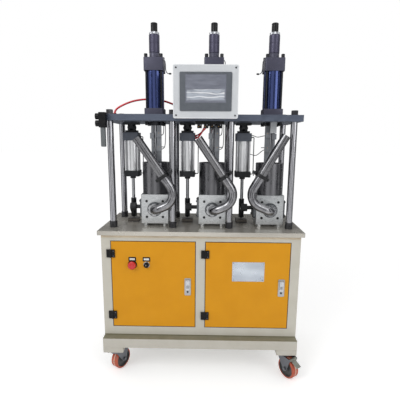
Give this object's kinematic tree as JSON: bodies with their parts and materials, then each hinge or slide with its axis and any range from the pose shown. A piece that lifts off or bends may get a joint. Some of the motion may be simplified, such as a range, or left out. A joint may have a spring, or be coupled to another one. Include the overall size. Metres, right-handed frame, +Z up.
{
  "type": "sealant filling machine",
  "caption": "Wheeled dosing machine: cabinet with two doors, posts and plate carrying air cylinders over piston metering barrels, rotary valves, inclined filling tubes and a touch panel.",
  "frame": {"origin": "on the floor under the centre of the table", "axes": "+X to the right, +Y to the back, +Z up"},
  "size_m": [1.2047, 0.6656, 2.0973],
  "materials": {
    "base_frame": "satin powder coat",
    "cabinet_frame": "satin powder coat",
    "cabinet_panels": "satin powder coat",
    "table_top": "polished plate",
    "guide_posts": "polished",
    "post_fasteners": "black oxide",
    "top_plate": "dark satin",
    "hmi_housing": "light satin",
    "hmi_bezel": "matte",
    "hmi_screen": "glossy film",
    "hinge_frame_leaves": "black",
    "air_cylinder_tubes": "navy gloss",
    "air_cylinder_caps": "slate satin",
    "air_cylinder_tie_rods": "black nuts",
    "metering_cylinders": "polished",
    "valve_bodies": "machined",
    "valve_covers": "machined dark",
    "discharge_elbows": "polished",
    "filling_tubes": "ground",
    "pipe_clamps": "black",
    "actuator_barrels": "satin anodised",
    "actuator_caps": "slate satin",
    "actuator_mounts": "black",
    "sensor_rails": "dark",
    "solenoid_valves": "black",
    "air_regulator": "black with grey bowl",
    "air_hoses": "red polyurethane",
    "sensor_cables": "grey jacket",
    "control_panel": "plate with grey modules",
    "caster_plates": "zinc",
    "dosing_piston_1": "polished rod",
    "stroke_adjuster_1": "black oxide",
    "actuator_rod_1": "polished rod, black clevis",
    "valve_rotor_1": "machined",
    "dosing_piston_2": "polished rod",
    "stroke_adjuster_2": "black oxide",
    "actuator_rod_2": "polished rod, black clevis",
    "valve_rotor_2": "machined",
    "dosing_piston_3": "polished rod",
    "stroke_adjuster_3": "black oxide",
    "actuator_rod_3": "polished rod, black clevis",
    "valve_rotor_3": "machined",
    "door_left": "yellow-orange powder coat",
    "door_hardware_left": "black",
    "latch_handle_left": "plated",
    "door_right": "yellow-orange powder coat",
    "door_hardware_right": "black",
    "latch_handle_right": "plated",
    "e_stop_button": "red",
    "selector_knob": "black",
    "caster_fork_front_left": "dark zinc",
    "caster_wheel_front_left": "orange-red polyurethane tread",
    "caster_fork_front_right": "dark zinc",
    "caster_wheel_front_right": "orange-red polyurethane tread",
    "caster_fork_rear_left": "dark zinc",
    "caster_wheel_rear_left": "orange-red polyurethane tread",
    "caster_fork_rear_right": "dark zinc",
    "caster_wheel_rear_right": "orange-red polyurethane tread",
    "brake_pedal_front_left": "zinc",
    "brake_pedal_front_right": "zinc"
  },
  "bodies": {
    "machine": {"base_frame": "base_frame", "cabinet_frame": "cabinet_frame", "cabinet_panels": "cabinet_panels", "table_top": "table_top", "guide_posts": "guide_posts", "post_fasteners": "post_fasteners", "top_plate": "top_plate", "hmi_housing": "hmi_housing", "hmi_bezel": "hmi_bezel", "hmi_screen": "hmi_screen", "hinge_frame_leaves": "hinge_frame_leaves", "air_cylinder_tubes": "air_cylinder_tubes", "air_cylinder_caps": "air_cylinder_caps", "air_cylinder_tie_rods": "air_cylinder_tie_rods", "metering_cylinders": "metering_cylinders", "valve_bodies": "valve_bodies", "valve_covers": "valve_covers", "discharge_elbows": "discharge_elbows", "filling_tubes": "filling_tubes", "pipe_clamps": "pipe_clamps", "actuator_barrels": "actuator_barrels", "actuator_caps": "actuator_caps", "actuator_mounts": "actuator_mounts", "sensor_rails": "sensor_rails", "solenoid_valves": "solenoid_valves", "air_regulator": "air_regulator", "air_hoses": "air_hoses", "sensor_cables": "sensor_cables", "control_panel": "control_panel", "caster_plates": "caster_plates"},
    "dosing_piston_1": {"dosing_piston_1": "dosing_piston_1"},
    "stroke_adjuster_1": {"stroke_adjuster_1": "stroke_adjuster_1"},
    "actuator_rod_1": {"actuator_rod_1": "actuator_rod_1"},
    "valve_rotor_1": {"valve_rotor_1": "valve_rotor_1"},
    "dosing_piston_2": {"dosing_piston_2": "dosing_piston_2"},
    "stroke_adjuster_2": {"stroke_adjuster_2": "stroke_adjuster_2"},
    "actuator_rod_2": {"actuator_rod_2": "actuator_rod_2"},
    "valve_rotor_2": {"valve_rotor_2": "valve_rotor_2"},
    "dosing_piston_3": {"dosing_piston_3": "dosing_piston_3"},
    "stroke_adjuster_3": {"stroke_adjuster_3": "stroke_adjuster_3"},
    "actuator_rod_3": {"actuator_rod_3": "actuator_rod_3"},
    "valve_rotor_3": {"valve_rotor_3": "valve_rotor_3"},
    "left_door": {"door_left": "door_left", "door_hardware_left": "door_hardware_left"},
    "left_latch": {"latch_handle_left": "latch_handle_left"},
    "right_door": {"door_right": "door_right", "door_hardware_right": "door_hardware_right"},
    "right_latch": {"latch_handle_right": "latch_handle_right"},
    "e_stop": {"e_stop_button": "e_stop_button"},
    "selector": {"selector_knob": "selector_knob"},
    "fork_front_left": {"caster_fork_front_left": "caster_fork_front_left"},
    "wheel_front_left": {"caster_wheel_front_left": "caster_wheel_front_left"},
    "fork_front_right": {"caster_fork_front_right": "caster_fork_front_right"},
    "wheel_front_right": {"caster_wheel_front_right": "caster_wheel_front_right"},
    "fork_rear_left": {"caster_fork_rear_left": "caster_fork_rear_left"},
    "wheel_rear_left": {"caster_wheel_rear_left": "caster_wheel_rear_left"},
    "fork_rear_right": {"caster_fork_rear_right": "caster_fork_rear_right"},
    "wheel_rear_right": {"caster_wheel_rear_right": "caster_wheel_rear_right"},
    "pedal_front_left": {"brake_pedal_front_left": "brake_pedal_front_left"},
    "pedal_front_right": {"brake_pedal_front_right": "brake_pedal_front_right"}
  },
  "joints": [
    {"name": "dosing_slide_1", "type": "slide", "parent": "machine", "child": "dosing_piston_1", "axis": [0, 0, 1], "range_m": [0, 0.15]},
    {"name": "adjuster_turn_1", "type": "hinge", "parent": "dosing_piston_1", "child": "stroke_adjuster_1", "pos_m": [-0.282, -0.045, 2.04], "axis": [0, 0, 1], "continuous": true},
    {"name": "actuator_slide_1", "type": "slide", "parent": "machine", "child": "actuator_rod_1", "axis": [0, 0, 1], "range_m": [0, 0.11687]},
    {"name": "valve_turn_1", "type": "hinge", "parent": "machine", "child": "valve_rotor_1", "pos_m": [-0.357, -0.045, 1.0165], "axis": [1, 0, 0], "range_deg": [0, 90]},
    {"name": "dosing_slide_2", "type": "slide", "parent": "machine", "child": "dosing_piston_2", "axis": [0, 0, 1], "range_m": [0, 0.15]},
    {"name": "adjuster_turn_2", "type": "hinge", "parent": "dosing_piston_2", "child": "stroke_adjuster_2", "pos_m": [0.068, -0.045, 2.04], "axis": [0, 0, 1], "continuous": true},
    {"name": "actuator_slide_2", "type": "slide", "parent": "machine", "child": "actuator_rod_2", "axis": [0, 0, 1], "range_m": [0, 0.11687]},
    {"name": "valve_turn_2", "type": "hinge", "parent": "machine", "child": "valve_rotor_2", "pos_m": [-0.007, -0.045, 1.0165], "axis": [1, 0, 0], "range_deg": [0, 90]},
    {"name": "dosing_slide_3", "type": "slide", "parent": "machine", "child": "dosing_piston_3", "axis": [0, 0, 1], "range_m": [0, 0.15]},
    {"name": "adjuster_turn_3", "type": "hinge", "parent": "dosing_piston_3", "child": "stroke_adjuster_3", "pos_m": [0.418, -0.045, 2.04], "axis": [0, 0, 1], "continuous": true},
    {"name": "actuator_slide_3", "type": "slide", "parent": "machine", "child": "actuator_rod_3", "axis": [0, 0, 1], "range_m": [0, 0.11687]},
    {"name": "valve_turn_3", "type": "hinge", "parent": "machine", "child": "valve_rotor_3", "pos_m": [0.343, -0.045, 1.0165], "axis": [1, 0, 0], "range_deg": [0, 90]},
    {"name": "left_door_hinge", "type": "hinge", "parent": "machine", "child": "left_door", "pos_m": [-0.52875, -0.2465, 0.577], "axis": [0, 0, -1], "range_deg": [0, 120]},
    {"name": "left_latch_pull", "type": "hinge", "parent": "left_door", "child": "left_latch", "pos_m": [-0.0745, -0.2473, 0.6088], "axis": [-1, 0, 0], "range_deg": [0, 40]},
    {"name": "right_door_hinge", "type": "hinge", "parent": "machine", "child": "right_door", "pos_m": [0.02825, -0.2465, 0.577], "axis": [0, 0, -1], "range_deg": [0, 120]},
    {"name": "right_latch_pull", "type": "hinge", "parent": "right_door", "child": "right_latch", "pos_m": [0.4825, -0.2473, 0.6088], "axis": [-1, 0, 0], "range_deg": [0, 40]},
    {"name": "e_stop_press", "type": "slide", "parent": "left_door", "child": "e_stop", "axis": [0, 1, 0], "range_m": [0, 0.004], "stiffness_N_per_m": 900, "springref_m": -0.002},
    {"name": "selector_turn", "type": "hinge", "parent": "left_door", "child": "selector", "pos_m": [-0.3185, -0.25, 0.7025], "axis": [0, -1, 0], "range_deg": [-45, 45]},
    {"name": "swivel_front_left", "type": "hinge", "parent": "machine", "child": "fork_front_left", "pos_m": [-0.524, -0.225, 0.14], "axis": [0, 0, 1], "continuous": true},
    {"name": "wheel_spin_front_left", "type": "hinge", "parent": "fork_front_left", "child": "wheel_front_left", "pos_m": [-0.504, -0.19036, 0.0625], "axis": [0.866, -0.5, 0], "continuous": true},
    {"name": "swivel_front_right", "type": "hinge", "parent": "machine", "child": "fork_front_right", "pos_m": [0.524, -0.225, 0.14], "axis": [0, 0, 1], "continuous": true},
    {"name": "wheel_spin_front_right", "type": "hinge", "parent": "fork_front_right", "child": "wheel_front_right", "pos_m": [0.54579, -0.25855, 0.0625], "axis": [-0.8387, -0.5446, 0], "continuous": true},
    {"name": "swivel_rear_left", "type": "hinge", "parent": "machine", "child": "fork_rear_left", "pos_m": [-0.524, 0.225, 0.14], "axis": [0, 0, 1], "continuous": true},
    {"name": "wheel_spin_rear_left", "type": "hinge", "parent": "fork_rear_left", "child": "wheel_rear_left", "pos_m": [-0.53095, 0.26439, 0.0625], "axis": [0.9848, 0.1736, 0], "continuous": true},
    {"name": "swivel_rear_right", "type": "hinge", "parent": "machine", "child": "fork_rear_right", "pos_m": [0.524, 0.225, 0.14], "axis": [0, 0, 1], "continuous": true},
    {"name": "wheel_spin_rear_right", "type": "hinge", "parent": "fork_rear_right", "child": "wheel_rear_right", "pos_m": [0.53435, 0.26364, 0.0625], "axis": [0.9659, -0.2588, 0], "continuous": true},
    {"name": "brake_press_front_left", "type": "hinge", "parent": "fork_front_left", "child": "pedal_front_left", "pos_m": [-0.489, -0.16438, 0.13], "axis": [-0.866, 0.5, 0], "range_deg": [0, 10]},
    {"name": "brake_press_front_right", "type": "hinge", "parent": "fork_front_right", "child": "pedal_front_right", "pos_m": [0.56212, -0.28371, 0.13], "axis": [0.8387, 0.5446, 0], "range_deg": [0, 10]}
  ],
  "couplings": [
    {"joint": "valve_turn_1", "follows": "actuator_slide_1", "rad_per_m": 13.44},
    {"joint": "valve_turn_2", "follows": "actuator_slide_2", "rad_per_m": 13.44},
    {"joint": "valve_turn_3", "follows": "actuator_slide_3", "rad_per_m": 13.44}
  ]
}
